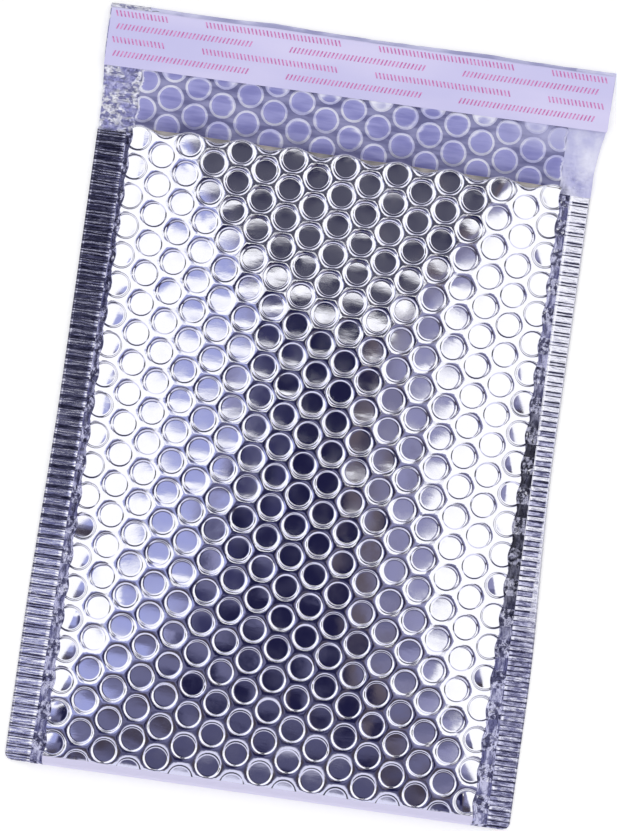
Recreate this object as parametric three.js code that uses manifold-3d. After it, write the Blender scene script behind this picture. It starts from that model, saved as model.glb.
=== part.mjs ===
// Padded envelope of metallised bubble film, lying on its back with the flap open.
// Millimetres, +X across the width, +Y towards the flap, +Z up, resting on z = 0.
// The origin is under the middle of the open envelope.

import * as THREE from 'three';
import { mergeVertices } from 'three/addons/utils/BufferGeometryUtils.js';
import Module from 'manifold-3d';

const wasm = await Module();
wasm.setup();

// Overall sizes
const WIDTH = 200;
const BODY_LENGTH = 250;
const FLAP_LENGTH = 50;
const LAMINATE = 3;             // film and bubbles of one panel
const CORNER_RADIUS = 3;        // at the two ends of the bottom fold

// How the filled-out pouch stands up from the table
const PEAK_HEIGHT = 16;
const LIP_HEIGHT = 11;          // top of the front panel in the middle of the mouth
const SIDE_HEIGHT = 6.8;        // where the bubbles end beside a seal
const NOSE_HEIGHT = 4;          // upper edge of the bottom fold
const NOSE_UNDERSIDE = 1.6;     // lower edge of the bottom fold
const NOSE_ROUND = 12;          // length over which the fold rounds up to the panels
const NOSE_BLEND = 1;           // length over which the fold turns under
const PEAK_FROM_MOUTH = 60;
const PEAK_OFF_CENTRE = 6;      // the crown lies a little to the right
const ARCH_POWER = 2;
const ARCH_SQUARER = 3;         // the pillow is squarer across near the fold
const ARCH_FADE = 45;           // length over which it loses that
const ALONG_POWER = 3.6;        // how early the pillow fills out above the fold
const CROWN_BLEND = 1.2;        // softness of the ridges between the slopes of the pillow

// Side seals, which the pillow draws inwards towards the mouth
const SEAL_LEFT = 9.9;          // from the side edge to the inner line of the seal, at the fold
const SEAL_RIGHT = 8.9;
const SEAL_DRAW_LEFT = 2.9;     // how far the inner line comes in towards the mouth
const SEAL_DRAW_RIGHT = 2.3;
const SEAL_DRAW_FULL = 45;      // below the mouth
const DRAW_LEFT = 1.5;
const DRAW_RIGHT = 3.2;
const DRAW_STARTS = 50;         // above the fold
const DRAW_FULL = 100;          // below the mouth
const DRAW_ENDS = 38;           // above the mouth
const RIB_PITCH = 3.95;
const RIB_TOP = 2.1;
const RIB_VALLEY = 1.4;
const SEAL_UNDERSIDE = 0.5;
const SEAL_RUNOUT = 8;          // length in which the seal comes down to the table past the mouth

// Bubbles
const COLUMN_SPACING = 10.3;
const ROW_PITCH = 12;
const FIELD_MARGIN = 15.4;      // from the side edge to the bubbles
const EDGE_CROWD = 2.6;         // from the last column's centre to the end of the bubbles
const FIRST_ROW = 9;            // centre of the first whole bubble above the fold
const LAST_ROW = 1.5;           // centre of the last whole bubble below the mouth
const ROW_DRAW = 0.036;         // the film is drawn longer towards the fold
const DISH_RADIUS = 4.8;
const DISH_DEPTH = 0.6;
const DISH_INSET = 0.6;         // least distance from a dish to the end of the bubbles

// Mouth, flap and what lies on the flap
const LIP_CREST = 3;            // beyond the mouth line, over a whole bubble
const LIP_TROUGH = 0.3;         // beyond the mouth line, over a cut bubble
const FLAP_WEB = 1.2;
const DOME_TOP = 2.9;
const DOME_RADIUS = 4.8;
const DOME_CROWN_RADIUS = 3.1;
const DOME_LIP_GAP = 0.4;
const FLAP_SIDE = 1.4;          // crushed bubbles at the sides
const PLATEAU = 1.6;            // crushed bubbles under the adhesive
const BACK_FLAT_EDGE = 6;       // plain film of the back at the flap's edge
const BACK_TURN = 2;            // from the flap's edge to where the plain film turns level
const BACK_MARGIN = 2.4;        // plain film of the back beside the bubbles
const EDGE_WAVE = 0.5;
const EDGE_WAVES = 5;
const GAP = 0.3;
const ADHESIVE_WIDTH = 15;
const ADHESIVE_THICK = 0.3;
const ADHESIVE_FROM_EDGE = 5;
const ADHESIVE_END_GAP = 1.5;
const LINER_WIDTH = 22.6;
const LINER_THICK = 0.3;
const LINER_FROM_EDGE = 1.6;
const LINER_OVERHANG = 1.7;     // of the liner over the last bubbles
const LINER_SKEW = 1.2;         // the strip is stuck on a little out of square
const LINER_END_GAP = 0.4;

// Pocket
const POCKET_MARGIN = 20;       // from the side edge to the pocket
const POCKET_END = 9;           // from the fold to the pocket
const POCKET_OVERRUN = 12;
const POCKET_ROWS = 9;          // stations along and across its curved ceiling
const POCKET_COLUMNS = 10;

const TOTAL_LENGTH = BODY_LENGTH + FLAP_LENGTH;
const FIELD_HALF = WIDTH / 2 - FIELD_MARGIN;
const COLUMNS = Math.round((FIELD_HALF - EDGE_CROWD) / COLUMN_SPACING);
const SPACING = (FIELD_HALF - EDGE_CROWD) / COLUMNS;
const ROW_SPAN = BODY_LENGTH - LAST_ROW - FIRST_ROW;
const ROWS = Math.round(ROW_SPAN / ROW_PITCH);
const MOUTH_ROW = 2 * ROWS;
const PLATEAU_START = TOTAL_LENGTH - LINER_FROM_EDGE - LINER_WIDTH + LINER_OVERHANG;
const X = 0;
const Y = 1;

// A point given by its distance up from the bottom fold
const at = (x, s, z) => new THREE.Vector3(x, s - TOTAL_LENGTH / 2, z);

// Distance up from the fold of a half row of bubbles
function rowPosition(halfRow) {
  const t = halfRow / MOUTH_ROW;
  return FIRST_ROW + ROW_SPAN * (t + ROW_DRAW * t * (1 - t));
}

// Last half row of whole bubbles that end before a limit above the mouth
function lastHalfRow(limit) {
  let last = MOUTH_ROW + 1;
  while (rowPosition(last + 2) < limit) {
    last += 1;
  }
  return last;
}

// Side edge of the envelope, side -1 is left and 1 is right
function sideEdge(side, s) {
  const draw = side < 0 ? DRAW_LEFT : DRAW_RIGHT;
  const rising = (s - DRAW_STARTS) / (BODY_LENGTH - DRAW_FULL - DRAW_STARTS);
  const falling = (BODY_LENGTH + DRAW_ENDS - s) / (DRAW_ENDS - SEAL_RUNOUT);
  const share = Math.max(0, Math.min(1, rising, falling));
  const toCorner = Math.max(0, CORNER_RADIUS - s);
  const corner = CORNER_RADIUS - Math.sqrt(CORNER_RADIUS ** 2 - toCorner ** 2);
  return side * (WIDTH / 2 - draw * share - corner);
}

// Inner line of a side seal
function sealInner(side, s) {
  const [width, draw] = side < 0 ? [SEAL_LEFT, SEAL_DRAW_LEFT] : [SEAL_RIGHT, SEAL_DRAW_RIGHT];
  const share = Math.min(1, s / (BODY_LENGTH - SEAL_DRAW_FULL));
  return side * (WIDTH / 2 - width - draw * share);
}

function softMinimum(a, b, blend) {
  const h = Math.max(0, blend - Math.abs(a - b)) / blend;
  return Math.min(a, b) - h * h * blend / 4;
}

// Height of the crests between the bubbles of the front panel
function crestHeight(x, s) {
  const fromCrown = Math.abs(x - PEAK_OFF_CENTRE);
  const halfSpan = x < PEAK_OFF_CENTRE ? FIELD_HALF + PEAK_OFF_CENTRE : FIELD_HALF - PEAK_OFF_CENTRE;
  const power = ARCH_POWER + ARCH_SQUARER * Math.exp(-s / ARCH_FADE);
  const across = 1 - Math.min(1, fromCrown / halfSpan) ** power;
  const peakAt = BODY_LENGTH - PEAK_FROM_MOUTH;
  const along = 1 - Math.max(0, 1 - s / peakAt) ** ALONG_POWER;
  const toNose = Math.max(0, 1 - s / NOSE_ROUND);
  const side = NOSE_HEIGHT + (SIDE_HEIGHT - NOSE_HEIGHT) * Math.sqrt(1 - toNose ** 2);
  const arch = side + (PEAK_HEIGHT - SIDE_HEIGHT) * across * along;
  const facetRise = (PEAK_HEIGHT - LIP_HEIGHT) / PEAK_FROM_MOUTH;
  const facet = LIP_HEIGHT + Math.max(0, BODY_LENGTH - s) * facetRise;
  return softMinimum(arch, facet, CROWN_BLEND);
}

// Triangles between two chains of points that run the same way, seen with the first on the left
function stitch(left, right, axis) {
  const faces = [];
  let i = 0;
  let j = 0;
  while (i < left.length - 1 || j < right.length - 1) {
    const nextLeft = i < left.length - 1 ? left[i + 1].getComponent(axis) : Infinity;
    const nextRight = j < right.length - 1 ? right[j + 1].getComponent(axis) : Infinity;
    if (nextLeft <= nextRight) {
      faces.push([left[i], right[j], left[i + 1]]);
      i += 1;
    } else {
      faces.push([left[i], right[j], right[j + 1]]);
      j += 1;
    }
  }
  return faces;
}

const turnedOver = (faces) => faces.map(([a, b, c]) => [a, c, b]);

// Hexagonal bubble field between two half rows: its cells, and the points around its edge.
// place(third, halfRow) gives the point at a third of a column spacing and a half row.
function bubbleField(first, last, place, fillCell) {
  const startOf = (k) => first + Math.abs(first + k) % 2;
  const endOf = (k) => last - Math.abs(last + k) % 2;
  const faces = [];
  const bottom = [];
  const top = [];
  for (let k = -COLUMNS; k <= COLUMNS; k += 1) {
    for (let m = startOf(k); m <= endOf(k); m += 2) {
      const corners = [
        place(3 * k + 2, m), place(3 * k + 1, m + 1), place(3 * k - 1, m + 1),
        place(3 * k - 2, m), place(3 * k - 1, m - 1), place(3 * k + 1, m - 1),
      ];
      faces.push(...fillCell(k, m, corners));
    }
    bottom.push(place(3 * k - 1, startOf(k) - 1), place(3 * k + 1, startOf(k) - 1));
    top.push(place(3 * k - 1, endOf(k) + 1), place(3 * k + 1, endOf(k) + 1));
  }
  const sideChain = (side) => {
    const chain = [];
    const k = side * COLUMNS;
    for (let r = startOf(k) - 1; r <= endOf(k) + 1; r += 1) {
      const reach = Math.abs(r + COLUMNS) % 2 === 0 ? 2 : 1;
      chain.push(place(side * (3 * COLUMNS + reach), r));
    }
    return chain;
  };
  return { faces, bottom, top, left: sideChain(-1), right: sideChain(1) };
}

// Ring of six points inside a cell, kept clear of the end of the bubbles
function cellRing(k, m, radius, height, lowest) {
  const ring = [];
  const limit = FIELD_HALF - DISH_INSET;
  for (let i = 0; i < 6; i += 1) {
    const angle = i * Math.PI / 3;
    const x = THREE.MathUtils.clamp(k * SPACING + radius * Math.cos(angle), -limit, limit);
    const s = Math.max(lowest, rowPosition(m) + radius * Math.sin(angle));
    ring.push(at(x, s, height(x, s)));
  }
  return ring;
}

function bandBetween(outer, inner) {
  const faces = [];
  for (let i = 0; i < 6; i += 1) {
    const n = (i + 1) % 6;
    faces.push([outer[i], outer[n], inner[i]], [outer[n], inner[n], inner[i]]);
  }
  return faces;
}

const capOf = (ring) => [1, 2, 3, 4].map((i) => [ring[0], ring[i], ring[i + 1]]);

const clampX = (third) => THREE.MathUtils.clamp(third * SPACING / 3, -FIELD_HALF, FIELD_HALF);

// Along the mouth the bubbles end at the wavy lip of the front panel
function lipPosition(halfRow) {
  return BODY_LENGTH + (halfRow > MOUTH_ROW ? LIP_CREST : LIP_TROUGH);
}

// Front panel: shallow dishes in a net of proud crests
function frontField() {
  const place = (third, r) => {
    const x = clampX(third);
    const s = r >= MOUTH_ROW ? lipPosition(r) : rowPosition(r);
    return at(x, s, crestHeight(x, s));
  };
  const floor = (x, s) => crestHeight(x, s) - DISH_DEPTH;
  return bubbleField(0, MOUTH_ROW, place, (k, m, corners) => {
    const ring = cellRing(k, m, DISH_RADIUS, floor, 0);
    return [...bandBetween(corners, ring), ...capOf(ring)];
  });
}

// Flap: the inner side shows, with round domes standing up from the film
function flapField() {
  const place = (third, r) => {
    const s = r <= MOUTH_ROW + 1 ? lipPosition(r) : rowPosition(r);
    return at(clampX(third), s, FLAP_WEB);
  };
  const lowest = BODY_LENGTH + LIP_TROUGH + DOME_LIP_GAP;
  return bubbleField(MOUTH_ROW + 1, lastHalfRow(PLATEAU_START), place, (k, m, corners) => {
    const foot = cellRing(k, m, DOME_RADIUS, () => FLAP_WEB, lowest);
    const crown = cellRing(k, m, DOME_CROWN_RADIUS, () => DOME_TOP, lowest + DOME_LIP_GAP);
    return [...bandBetween(corners, foot), ...bandBetween(foot, crown), ...capOf(crown)];
  });
}

// Back of the body and the flap: crests on the table and a shallow pit at each bubble
function backField() {
  const place = (third, r) => at(clampX(third), rowPosition(r), 0);
  const last = lastHalfRow(TOTAL_LENGTH - BACK_FLAT_EDGE);
  return bubbleField(0, last, place, (k, m, corners) => {
    const pit = at(k * SPACING, rowPosition(m), DISH_DEPTH);
    return corners.map((corner, i) => [corner, corners[(i + 1) % 6], pit]);
  });
}

// Points along a side seal, one on each crest and one in each valley of its ribs
function ribStations() {
  const count = 2 * Math.round(BODY_LENGTH / RIB_PITCH);
  return Array.from({ length: count + 1 }, (_, i) => {
    return { s: BODY_LENGTH * i / count, z: i % 2 === 0 ? RIB_VALLEY : RIB_TOP };
  });
}

// Distances up from the fold at which the side edge changes its direction
function edgeStations() {
  return [
    0, CORNER_RADIUS / 3, CORNER_RADIUS, DRAW_STARTS, BODY_LENGTH - DRAW_FULL, BODY_LENGTH,
    BODY_LENGTH + SEAL_RUNOUT, BODY_LENGTH + DRAW_ENDS, TOTAL_LENGTH,
  ];
}

// Wavy outer edge of the flap, from left to right
function flapEdge(z) {
  const count = 2 * EDGE_WAVES;
  const points = [];
  for (let i = 0; i <= count; i += 1) {
    const wave = i % 2 === 0 ? 0 : EDGE_WAVE;
    const x = sideEdge(-1, TOTAL_LENGTH) + WIDTH * i / count;
    points.push(at(x, TOTAL_LENGTH - wave, z));
  }
  return points;
}

// Straight line across the width that faces the zigzag end of a bubble field, point for point
const facing = (chain, s, z) => chain.map((point) => at(point.x, s, z));

const sideOf = (faces, side) => (side < 0 ? faces : turnedOver(faces));

// One side of the body's top: from the bubbles down the crumpled wall to the ribs and the edge
function bodySide(field, side, shoulder, nose) {
  const end = side < 0 ? 0 : nose.length - 1;
  const fieldChain = side < 0 ? field.left : field.right;
  const inner = [nose[end], shoulder[end], ...fieldChain];
  const ribs = ribStations();
  const ribInner = ribs.map(({ s, z }) => at(sealInner(side, s), s, z));
  const ribOuter = ribs.map(({ s, z }) => at(sideEdge(side, s), s, z));
  const faces = [
    ...sideOf(stitch(ribInner, inner, Y), side),
    ...sideOf(stitch(ribOuter, ribInner, Y), side),
  ];
  return { faces, ribInner, ribOuter };
}

function bodyTop() {
  const field = frontField();
  const nose = facing(field.bottom, 0, NOSE_HEIGHT);
  const shoulder = facing(field.bottom, NOSE_BLEND, crestHeight(-FIELD_HALF, NOSE_BLEND));
  const left = bodySide(field, -1, shoulder, nose);
  const right = bodySide(field, 1, shoulder, nose);
  const faces = [
    ...field.faces,
    ...stitch(field.bottom, shoulder, X),
    ...stitch(shoulder, nose, X),
    ...left.faces,
    ...right.faces,
  ];
  const front = [left.ribOuter[0], left.ribInner[0], ...nose, right.ribInner[0], right.ribOuter[0]];
  const mouth = [
    left.ribOuter.at(-1), left.ribInner.at(-1), ...field.top,
    right.ribInner.at(-1), right.ribOuter.at(-1),
  ];
  return { faces, front, mouth, leftEdge: left.ribOuter, rightEdge: right.ribOuter };
}

// Top of the flap: domes, crushed sides, and the plateau that carries the adhesive
function flapTop() {
  const field = flapField();
  const line = facing(field.top, PLATEAU_START, PLATEAU);
  const stations = edgeStations().filter((s) => s >= BODY_LENGTH && s < PLATEAU_START);
  const far = flapEdge(PLATEAU);
  const faces = [...field.faces, ...stitch(line, field.top, X)];
  const edges = {};
  for (const side of [-1, 1]) {
    const mouthCorner = at(sealInner(side, BODY_LENGTH), BODY_LENGTH, FLAP_SIDE);
    const chain = side < 0 ? field.left : field.right;
    const lineEnd = side < 0 ? line[0] : line.at(-1);
    const inner = [mouthCorner, ...chain, lineEnd];
    const outer = stations.map((s) => at(sideEdge(side, s), s, FLAP_SIDE));
    const plateauCorner = at(sideEdge(side, PLATEAU_START), PLATEAU_START, PLATEAU);
    outer.push(plateauCorner);
    faces.push(...sideOf(stitch(outer, inner, Y), side));
    edges[side] = { mouthCorner, outer, plateauCorner };
  }
  const near = [edges[-1].plateauCorner, ...line, edges[1].plateauCorner];
  faces.push(...stitch(far, near, X));
  const mouth = [
    edges[-1].outer[0], edges[-1].mouthCorner, ...field.bottom,
    edges[1].mouthCorner, edges[1].outer[0],
  ];
  const leftEdge = [...edges[-1].outer, far[0]];
  const rightEdge = [...edges[1].outer, far.at(-1)];
  return { faces, mouth, far, leftEdge, rightEdge };
}

// Underside of the whole sheet, flat on the table beside the bubbles and raised at the seals
function underside() {
  const field = backField();
  const lineHalf = FIELD_HALF + BACK_MARGIN;
  const framed = (chain, s, z, endZ) => {
    return [at(-lineHalf, s, endZ), ...facing(chain, s, z), at(lineHalf, s, endZ)];
  };
  const near = framed(field.bottom, NOSE_BLEND, 0, 0);
  const farther = framed(field.top, TOTAL_LENGTH - BACK_TURN, 0, 0);
  const nose = framed(field.bottom, 0, NOSE_UNDERSIDE, SEAL_UNDERSIDE);
  const far = flapEdge(0);
  const edge = (side) => edgeStations().map((s) => {
    return at(sideEdge(side, s), s, s <= BODY_LENGTH ? SEAL_UNDERSIDE : 0);
  });
  const leftEdge = edge(-1);
  const rightEdge = edge(1);
  const seen = [
    ...field.faces,
    ...stitch(field.bottom, near.slice(1, -1), X),
    ...stitch(farther.slice(1, -1), field.top, X),
    ...stitch([near[0], farther[0]], [near[1], ...field.left, farther[1]], Y),
    ...stitch([near.at(-2), ...field.right, farther.at(-2)], [near.at(-1), farther.at(-1)], Y),
    ...stitch(near, nose, X),
    ...stitch(far, farther, X),
    ...stitch(leftEdge, [nose[0], near[0], farther[0], far[0]], Y),
    ...stitch([nose.at(-1), near.at(-1), farther.at(-1), far.at(-1)], rightEdge, Y),
  ];
  const front = [leftEdge[0], ...nose, rightEdge[0]];
  return { faces: turnedOver(seen), front, far, leftEdge, rightEdge };
}

// Closed outer skin, before the pocket is opened in it
function pouchSkin() {
  const body = bodyTop();
  const flap = flapTop();
  const below = underside();
  return [
    ...body.faces,
    ...flap.faces,
    ...below.faces,
    ...stitch(flap.mouth, body.mouth, X),
    ...stitch(body.front, below.front, X),
    ...stitch(below.far, flap.far, X),
    ...stitch(below.leftEdge, [...body.leftEdge, ...flap.leftEdge], Y),
    ...stitch([...body.rightEdge, ...flap.rightEdge], below.rightEdge, Y),
  ];
}

function geometryOf(faces) {
  const distinct = faces.filter(([a, b, c]) => !a.equals(b) && !b.equals(c) && !c.equals(a));
  const geometry = new THREE.BufferGeometry().setFromPoints(distinct.flat());
  return mergeVertices(geometry, 1e-4);
}

function manifoldOf(faces) {
  const geometry = geometryOf(faces);
  const mesh = new wasm.Mesh({
    numProp: 3,
    vertProperties: new Float32Array(geometry.attributes.position.array),
    triVerts: new Uint32Array(geometry.index.array),
  });
  return new wasm.Manifold(mesh);
}

function geometryFrom(manifold) {
  const mesh = manifold.getMesh();
  const geometry = new THREE.BufferGeometry();
  geometry.setAttribute('position', new THREE.BufferAttribute(new Float32Array(mesh.vertProperties), 3));
  geometry.setIndex(new THREE.BufferAttribute(new Uint32Array(mesh.triVerts), 1));
  return geometry;
}

// Closed block over a grid of stations, between an upper and a lower height
function gridBlock(xs, ss, upper, lower) {
  const row = (s, height) => xs.map((x) => at(x, s, height(x, s)));
  const column = (x, height) => ss.map((s) => at(x, s, height(x, s)));
  const faces = [];
  for (let i = 0; i + 1 < ss.length; i += 1) {
    faces.push(...stitch(row(ss[i + 1], upper), row(ss[i], upper), X));
    faces.push(...stitch(row(ss[i], lower), row(ss[i + 1], lower), X));
  }
  const [x0, x1] = [xs[0], xs.at(-1)];
  const [s0, s1] = [ss[0], ss.at(-1)];
  faces.push(...stitch(row(s0, upper), row(s0, lower), X));
  faces.push(...stitch(row(s1, lower), row(s1, upper), X));
  faces.push(...stitch(column(x0, lower), column(x0, upper), Y));
  faces.push(...stitch(column(x1, upper), column(x1, lower), Y));
  return faces;
}

const spread = (from, to, count) => {
  return Array.from({ length: count + 1 }, (_, i) => from + (to - from) * i / count);
};

// Space inside the pouch, open at the mouth
function pocketBlock() {
  const half = WIDTH / 2 - POCKET_MARGIN;
  const mouthEnd = BODY_LENGTH + POCKET_OVERRUN;
  const ceiling = (x, s) => crestHeight(x, Math.min(s, BODY_LENGTH)) - LAMINATE;
  const stations = [...spread(POCKET_END, BODY_LENGTH, POCKET_ROWS), mouthEnd];
  return gridBlock(spread(-half, half, POCKET_COLUMNS), stations, ceiling, () => LAMINATE);
}

// Thin strip across the flap, set back from the flap's edge
function flapStrip({ fromEdge, width, endGap, skew, bottom, thickness }) {
  const half = (s, side) => sideEdge(side, s) - side * endGap;
  const far = TOTAL_LENGTH - fromEdge;
  const near = far - width;
  const corner = (side, s, z) => at(half(s, side), s + side * skew / 2, z);
  const loop = (z) => [corner(-1, near, z), corner(1, near, z), corner(1, far, z), corner(-1, far, z)];
  const low = loop(bottom);
  const high = loop(bottom + thickness);
  const faces = [[high[0], high[1], high[2]], [high[0], high[2], high[3]]];
  faces.push([low[0], low[2], low[1]], [low[0], low[3], low[2]]);
  for (let i = 0; i < 4; i += 1) {
    const n = (i + 1) % 4;
    faces.push([low[i], low[n], high[n]], [low[i], high[n], high[i]]);
  }
  return geometryOf(faces);
}

function piece(name, geometry, color, roughness, metalness) {
  geometry.computeVertexNormals();
  const material = new THREE.MeshStandardMaterial({ color, roughness, metalness, flatShading: true });
  const mesh = new THREE.Mesh(geometry, material);
  mesh.name = name;
  return mesh;
}

// One sheet of laminate: front panel, bottom fold, back panel and flap, welded along both sides
function pouch() {
  const open = manifoldOf(pouchSkin()).subtract(manifoldOf(pocketBlock()));
  return piece('pouch', geometryFrom(open), 0xb4b6d0, 0.15, 0.95);
}

function adhesiveStrip() {
  const geometry = flapStrip({
    fromEdge: ADHESIVE_FROM_EDGE,
    width: ADHESIVE_WIDTH,
    endGap: ADHESIVE_END_GAP,
    skew: 0,
    bottom: PLATEAU + GAP,
    thickness: ADHESIVE_THICK,
  });
  return piece('adhesive_strip', geometry, 0xe6e0c8, 0.4, 0);
}

function releaseLiner() {
  const geometry = flapStrip({
    fromEdge: LINER_FROM_EDGE,
    width: LINER_WIDTH,
    endGap: LINER_END_GAP,
    skew: LINER_SKEW,
    bottom: PLATEAU + 2 * GAP + ADHESIVE_THICK,
    thickness: LINER_THICK,
  });
  return piece('release_liner', geometry, 0xd8d2f4, 0.45, 0);
}

const envelope = new THREE.Group();
envelope.add(pouch(), adhesiveStrip(), releaseLiner());

export default envelope;
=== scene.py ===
"""Padded envelope of metallised bubble film, lying on its back with the flap open."""

import math

import bpy
import numpy as np
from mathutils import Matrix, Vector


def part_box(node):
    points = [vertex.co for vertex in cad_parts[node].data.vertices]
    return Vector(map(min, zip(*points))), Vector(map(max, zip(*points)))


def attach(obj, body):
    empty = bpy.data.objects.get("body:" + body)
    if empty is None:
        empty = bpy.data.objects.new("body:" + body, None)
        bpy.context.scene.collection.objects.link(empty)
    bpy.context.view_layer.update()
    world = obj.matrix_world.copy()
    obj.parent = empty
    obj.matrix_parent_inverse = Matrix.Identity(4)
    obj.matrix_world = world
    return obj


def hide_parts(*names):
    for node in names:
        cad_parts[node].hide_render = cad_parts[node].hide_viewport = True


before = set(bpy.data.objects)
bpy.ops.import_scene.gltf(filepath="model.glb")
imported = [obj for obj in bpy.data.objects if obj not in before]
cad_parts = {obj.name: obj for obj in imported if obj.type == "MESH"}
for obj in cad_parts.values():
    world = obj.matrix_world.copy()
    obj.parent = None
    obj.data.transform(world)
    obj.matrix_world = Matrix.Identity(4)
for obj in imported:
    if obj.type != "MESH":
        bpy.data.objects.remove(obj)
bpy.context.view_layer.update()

# Sizes in millimetres. s is the distance up from the bottom fold
MM = 0.001
pouch_low, pouch_high = (np.array(corner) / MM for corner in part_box("pouch"))
liner_low, liner_high = (np.array(corner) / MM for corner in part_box("release_liner"))
adhesive_low, adhesive_high = (np.array(corner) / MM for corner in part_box("adhesive_strip"))
HALF_WIDTH = (pouch_high[0] - pouch_low[0]) / 2
TOTAL_LENGTH = pouch_high[1] - pouch_low[1]
FLAP_LENGTH = 50
BODY_LENGTH = TOTAL_LENGTH - FLAP_LENGTH

# Pillow of the front panel
PEAK_HEIGHT = 15.95
LIP_HEIGHT = 10.7
SIDE_HEIGHT = 6.8
PEAK_FROM_MOUTH = 60
PEAK_OFF_CENTRE = 6
ARCH_POWER = 2
ARCH_SQUARER = 3
ARCH_FADE = 45
ALONG_POWER = 3.6
CROWN_BLEND = 1.2

# Bottom fold: the sheet rolls over a blunt nose, and a satin band runs along it
NOSE_REACH = 4.4
NOSE_MIDDLE = 3.3
NOSE_ARC = 6.4
FOLD_FALL = 0.35
FOLD_FALL_POWER = 1.3
FOLD_BLUNTNESS = 8
FOLD_BAND = 3.2
FOLD_BAND_EDGE = (-0.4, 0.2)
FOLD_WANDER = 1.2
SHEET_START = NOSE_REACH - NOSE_ARC

# Side seals
SEAL_WIDTH = {-1: 9.9, 1: 8.9}
SEAL_DRAW = {-1: 2.9, 1: 2.3}
SEAL_DRAW_FULL = 45
DRAW = {-1: 1.5, 1: 3.2}
DRAW_STARTS = 50
DRAW_FULL = 100
DRAW_ENDS = 38
SEAL_RUNOUT = 8
CORNER_RADIUS = 3
RIB_PITCH = 3.95
SEAL_TOP = 2.0
SEAL_FILM = 0.3
RIB_STEPS = 18
GROOVE_HALF = {-1: (0.3, 0.3), 1: (0.35, 0.75)}
GROOVE_WIDENS = (190, 150)
GROOVE_WALL = 0.5
GROOVE_DEPTH = 0.17
GROOVE_UNEVEN = 0.35
SEAL_BEAD = 0.22
SEAL_BEAD_WIDTH = 0.35
SEAL_WRINKLE = 0.018
SEAL_WAVE = 0.07
FIELD_OVERRUN = 0.1
SCALLOP = -0.5

# How steeply the welded strip falls outwards: at first, what it gains, and the ramp of that gain
SEAL_LEAN = {-1: (0.015, 0.1, (125, -60)), 1: (0.12, 0.02, (110, 50))}

# Crumpled wall between the bubbles and the weld
WALL_DROP = 1.1
WALL_CALM = 0.2
PLEAT_OUT = 0.8
PLEAT_UP = 1.4
CRUMPLE_OUT = 0.25
CRUMPLE_UP = 0.3
CRUMPLED_FROM = 0.4

# Bubble lattice
FIELD_MARGIN = 15.4
EDGE_CROWD = 2.6
COLUMN_SPACING = 10.3
ROW_PITCH = 12
FIRST_ROW = 9
LAST_ROW = 1.5
ROW_DRAW = 0.036
FIELD_HALF = HALF_WIDTH - FIELD_MARGIN
COLUMNS = round((FIELD_HALF - EDGE_CROWD) / COLUMN_SPACING)
SPACING = (FIELD_HALF - EDGE_CROWD) / COLUMNS
ROW_SPAN = BODY_LENGTH - LAST_ROW - FIRST_ROW
MOUTH_ROW = 2 * round(ROW_SPAN / ROW_PITCH)

# One bubble from outside: a shallow dish with a steep rim in a proud web
DISH_DEPTH = 0.5
DISH_CURVE_ACROSS = 0.003
DISH_CURVE_ALONG = 0.009
DISH_EDGE = 4.3
RIM_EDGE = 5.3
WEB_DROP = 0.14
WEB_REACH = 0.65
DISH_TILT = 0.008
DISH_WARP = 0.0025
EDGE_TILT = 3.5
EDGE_BUCKLE = 4
EDGE_CURVE = -0.028

# One bubble from inside: a low dome
DOME_CROWN = 4.2
DOME_FOOT = 5.5
DOME_RISE = 1.6
DOME_CURVE = 0.012
DOME_WRINKLE = 0.05

# Flap. A ramp is where it starts and how long it is, and a negative length runs it downwards
FLAP_WEB = 1.2
FLAP_CRUSH = 0.22
FLAP_RIPPLE = 0.08
FLAP_PLATEAU = 1.55
PLATEAU_START = 277.5
MARGIN_HEIGHT = 0.9
MARGIN_WRINKLE = 0.16
TIP_HEIGHT = 0.4
CRUSH_RAMP = (273, 5)
MARGIN_RAMP = (297.2, 1.6)
TIP_RAMP = (299.2, 0.8)
WAVE_RAMP = (288, 12)
FLAP_SIDE_HEIGHT = 1.45
FLAP_SIDE_GAIN = 0.1
SIDE_GAIN_RAMP = (262, 12)
SIDE_END_RAMP = (279, 3)
CRINKLE_RAMP = {-1: (279, -4), 1: (280, -6)}
SIDE_CALM = 0.15
SIDE_OVERLAP = 0.4
SIDE_HEM = 5
CREASED_AT = (90, 254)
CREASED_SPREAD = 40

# Edges of the front panel
LIP_MIDDLE = 1.65
LIP_WAVE = 1.35
LIP_BEAD = 0.3
LIP_SINK = 0.1
LINING_END = 2.1
LINING_BEAD = 0.16
LINING_SINK = 0.75
LINING_EDGE_DEPTH = 6
LINING_STARTS = 228

rng = np.random.default_rng(11)


# Noise and easing

def smooth(t):
    t = np.clip(t, 0, 1)
    return t * t * (3 - 2 * t)


def ramp(place, start, length):
    """Rises softly from 0 at a start to 1 a length further on."""
    return smooth((place - start) / length)


NOISE_SIZE = 64
noise_table = rng.uniform(-1, 1, (NOISE_SIZE, NOISE_SIZE))


def noise(x, y):
    """Smooth value noise between -1 and 1, one feature to each unit."""
    x, y = np.broadcast_arrays(np.asarray(x, float), np.asarray(y, float))
    xi = np.floor(x).astype(int)
    yi = np.floor(y).astype(int)
    fx = smooth(x - xi)
    fy = smooth(y - yi)

    def pick(i, j):
        return noise_table[i % NOISE_SIZE, j % NOISE_SIZE]

    low = pick(xi, yi) * (1 - fx) + pick(xi + 1, yi) * fx
    high = pick(xi, yi + 1) * (1 - fx) + pick(xi + 1, yi + 1) * fx
    return low * (1 - fy) + high * fy


def crumple(x, y, octaves=3):
    total = np.zeros(np.broadcast(x, y).shape)
    for octave in range(octaves):
        scale = 2 ** octave
        total = total + noise(x * scale + 17.3 * octave, y * scale + 5.1 * octave) / scale
    return total


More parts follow.
